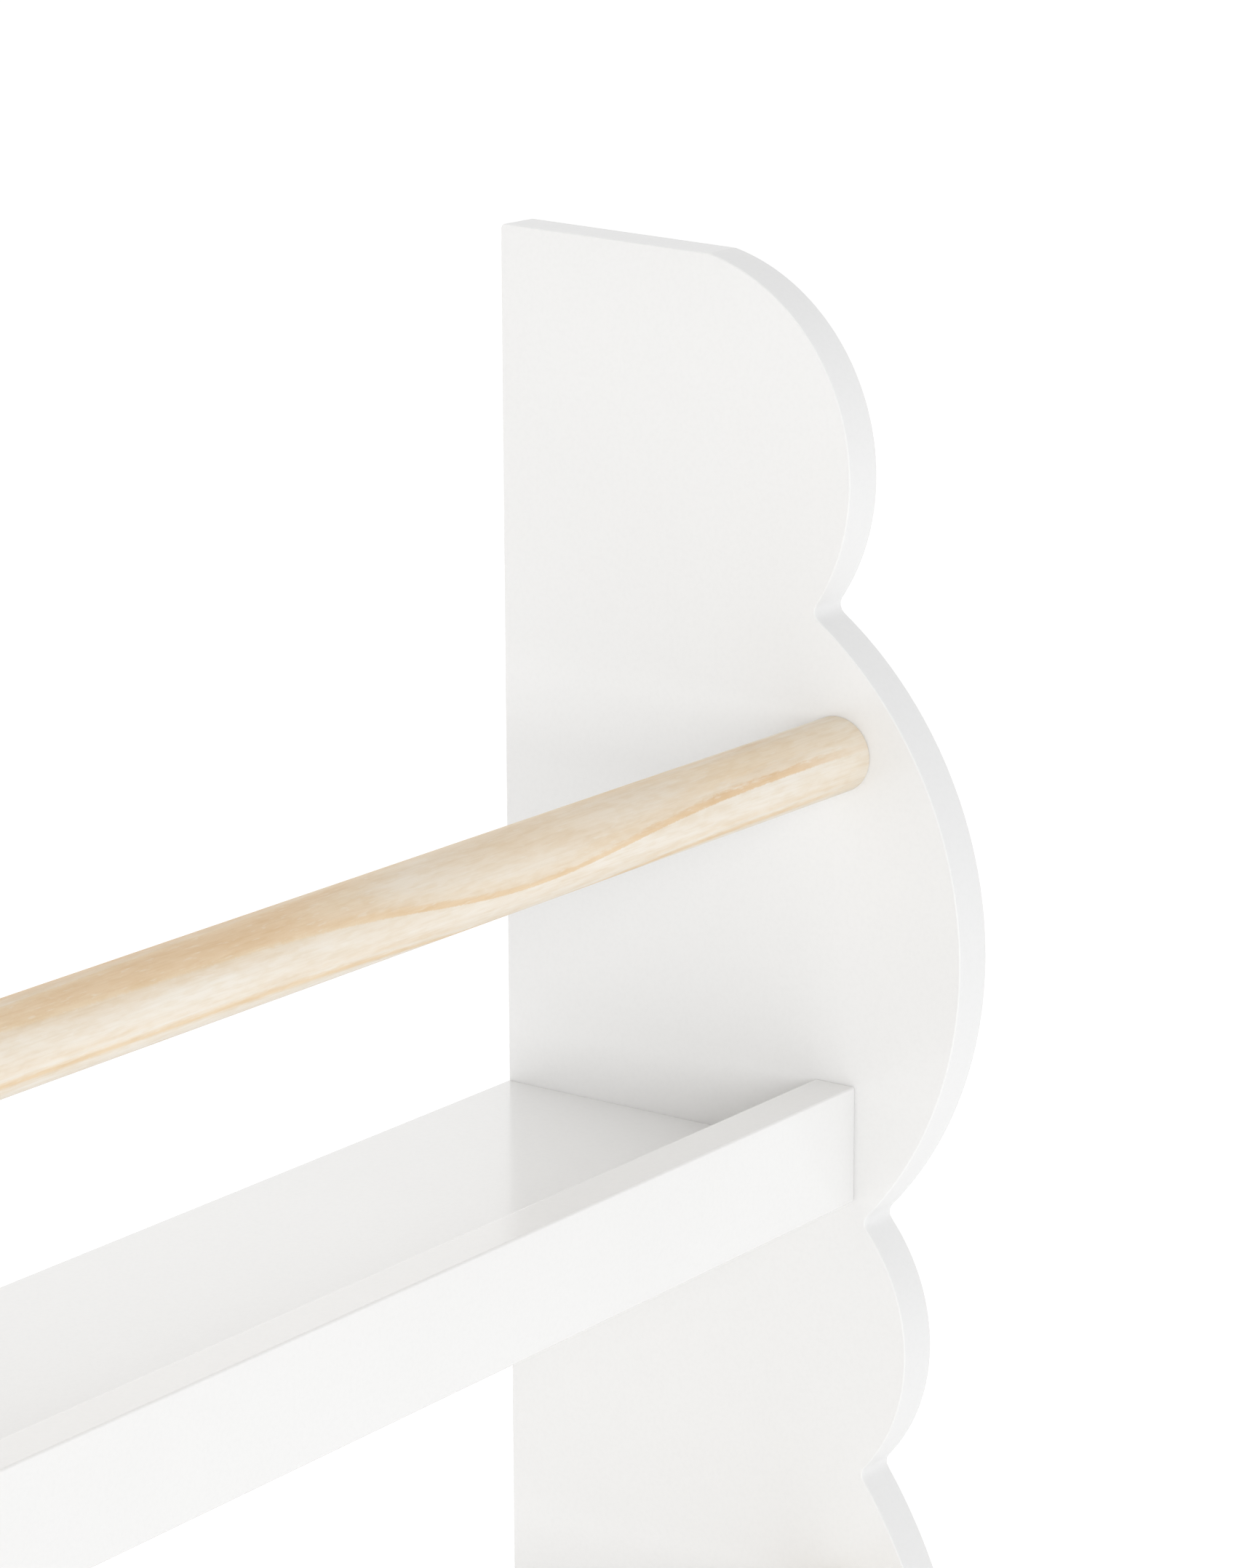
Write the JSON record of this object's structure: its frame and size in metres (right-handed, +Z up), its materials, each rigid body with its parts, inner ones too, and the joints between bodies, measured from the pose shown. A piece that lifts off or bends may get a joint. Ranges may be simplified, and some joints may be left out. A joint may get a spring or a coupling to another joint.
{
  "type": "wall shelf",
  "caption": "Wall shelf for picture books: wavy white side panels, shelf boards with upright front lips, and round pine bars in front.",
  "frame": {"origin": "centre of the rectangle of the wall screw holes in the brackets, on the wall plane", "axes": "+X to the right along the shelves as seen from the room, +Y into the wall, +Z up"},
  "size_m": [0.5978, 0.1751, 0.7],
  "materials": {
    "white_paint": "satin white paint on 15 mm board",
    "pine": "pine, clear satin",
    "beech": "bare beech",
    "zinc_steel": "bright zinc plate",
    "white_plastic": "matte"
  },
  "bodies": {
    "root": {"side_panel_left": "white_paint", "side_panel_right": "white_paint", "shelf_board_upper": "white_paint", "front_lip_upper": "white_paint", "pine_bar_upper": "pine", "shelf_board_lower": "white_paint", "front_lip_lower": "white_paint", "pine_bar_lower": "pine", "shelf_screws_upper_left": "zinc_steel", "bar_screw_upper_left": "zinc_steel", "shelf_screws_upper_right": "zinc_steel", "bar_screw_upper_right": "zinc_steel", "shelf_screws_lower_left": "zinc_steel", "bar_screw_lower_left": "zinc_steel", "shelf_screws_lower_right": "zinc_steel", "bar_screw_lower_right": "zinc_steel", "screw_caps_left": "white_plastic", "screw_caps_right": "white_plastic", "shelf_dowels_upper": "beech", "lip_dowels_upper": "beech", "lip_end_dowels_upper": "beech", "shelf_dowels_lower": "beech", "lip_dowels_lower": "beech", "lip_end_dowels_lower": "beech", "wall_bracket_upper_left": "zinc_steel", "bracket_screws_upper_left": "zinc_steel", "wall_bracket_upper_right": "zinc_steel", "bracket_screws_upper_right": "zinc_steel", "wall_bracket_lower_left": "zinc_steel", "bracket_screws_lower_left": "zinc_steel", "wall_bracket_lower_right": "zinc_steel", "bracket_screws_lower_right": "zinc_steel"}
  },
  "joints": []
}
